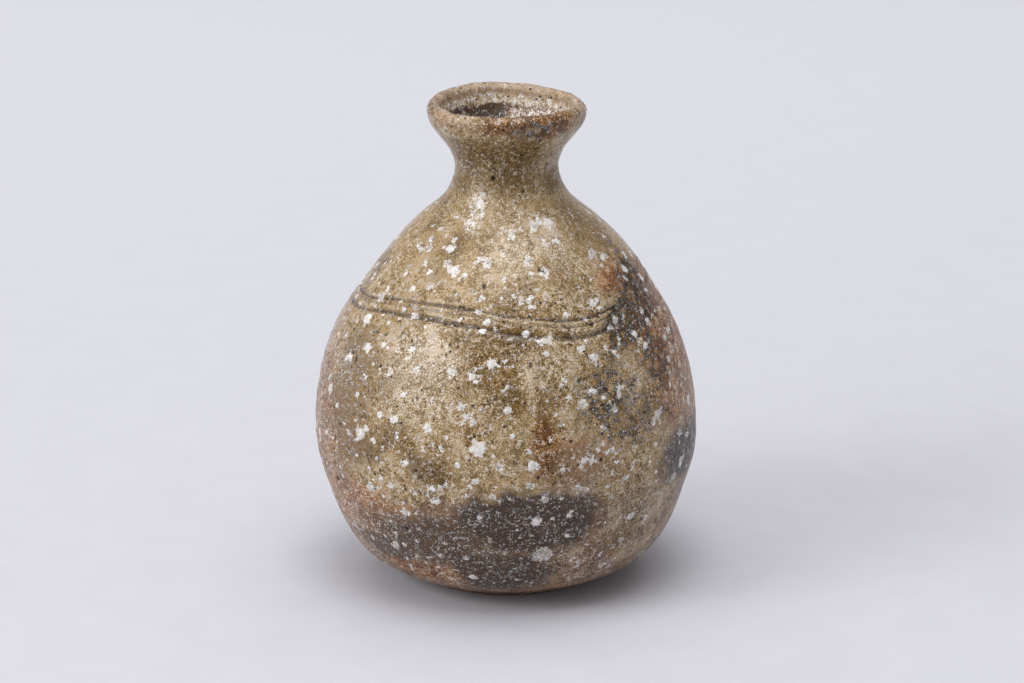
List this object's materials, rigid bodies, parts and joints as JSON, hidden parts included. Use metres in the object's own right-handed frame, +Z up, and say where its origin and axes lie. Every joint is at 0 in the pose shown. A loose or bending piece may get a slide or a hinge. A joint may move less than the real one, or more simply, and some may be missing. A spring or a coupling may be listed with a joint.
{
  "type": "sake bottle",
  "caption": "Hand-built stoneware sake bottle with a wide low belly, narrow neck, flared mouth, incised shoulder lines and feldspar grains in an ash-glazed wall.",
  "frame": {"origin": "centre of the flat foot, on the surface the bottle stands on", "axes": "+Z up along the bottle's axis, front of the bottle towards -Y, +X to the viewer's right"},
  "size_m": [0.0968, 0.0968, 0.122],
  "materials": {
    "stoneware": "fired bare clay with a thin natural gloss",
    "ash_glaze": "thin, pitted, satin-gloss natural ash glaze",
    "feldspar": "half-melted white mineral grains"
  },
  "bodies": {
    "root": {"foot_slab": "stoneware", "lower_belly": "stoneware", "upper_belly": "stoneware", "shoulder": "stoneware", "neck": "stoneware", "mouth_rim": "stoneware", "ash_glaze": "ash_glaze", "feldspar_grains": "feldspar"}
  },
  "joints": []
}
